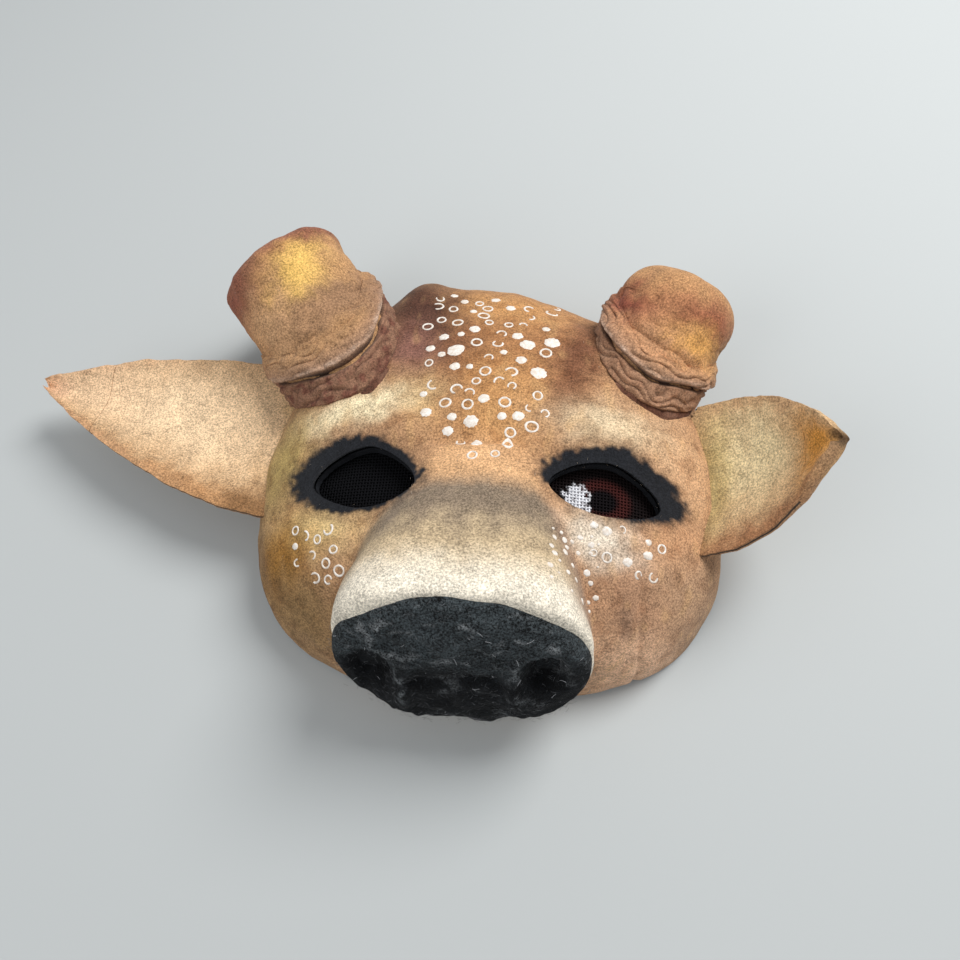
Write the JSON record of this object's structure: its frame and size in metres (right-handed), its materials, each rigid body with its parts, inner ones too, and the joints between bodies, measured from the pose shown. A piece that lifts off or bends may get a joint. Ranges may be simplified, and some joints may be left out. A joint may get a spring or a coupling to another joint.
{
  "type": "fawn half mask",
  "caption": "Handmade fawn face mask: stiff shell under painted felt, padded muzzle and nose, layered ears, felt-wrapped antler stubs and screened eye openings.",
  "frame": {"origin": "middle of the bounding box on the plane of the shell's rim, which the mask lies on", "axes": "+X to the viewer's right across the face, +Y from the nose to the forehead, +Z out of the face"},
  "size_m": [0.3076, 0.1856, 0.0739],
  "materials": {
    "shell_pulp": "rough, unpainted inside",
    "felt_rust": "matt painted felt",
    "felt_ochre": "matt painted felt",
    "felt_tan": "matt painted felt",
    "felt_cream": "matt brushed felt",
    "felt_black": "matt brushed felt",
    "felt_antler": "matt painted felt, wrinkled",
    "felt_maroon": "matt painted felt",
    "foam": "soft craft foam",
    "dark_foam": "soft craft foam",
    "screen": "open woven screen"
  },
  "bodies": {
    "root": {"mask_base": "shell_pulp", "forehead_felt": "felt_rust", "left_cheek_felt": "felt_ochre", "right_cheek_felt": "felt_tan", "right_jaw_felt": "felt_tan", "muzzle_foam": "foam", "muzzle_felt": "felt_cream", "nose_pad": "felt_black", "left_eye_screen": "screen", "right_eye_screen": "screen", "left_strap_tab": "dark_foam", "right_strap_tab": "dark_foam", "left_ear_back": "felt_tan", "left_ear_foam": "dark_foam", "left_ear_lining": "felt_cream", "left_ear_tip": "felt_tan", "left_antler_core": "foam", "left_antler_wrap": "felt_antler", "left_antler_cap": "felt_maroon", "left_antler_fold": "felt_antler", "left_antler_collar": "felt_maroon", "right_ear_back": "felt_tan", "right_ear_foam": "dark_foam", "right_ear_lining": "felt_cream", "right_ear_tip": "felt_tan", "right_antler_core": "foam", "right_antler_wrap": "felt_antler", "right_antler_cap": "felt_maroon", "right_antler_fold": "felt_antler", "right_antler_collar": "felt_maroon"}
  },
  "joints": []
}
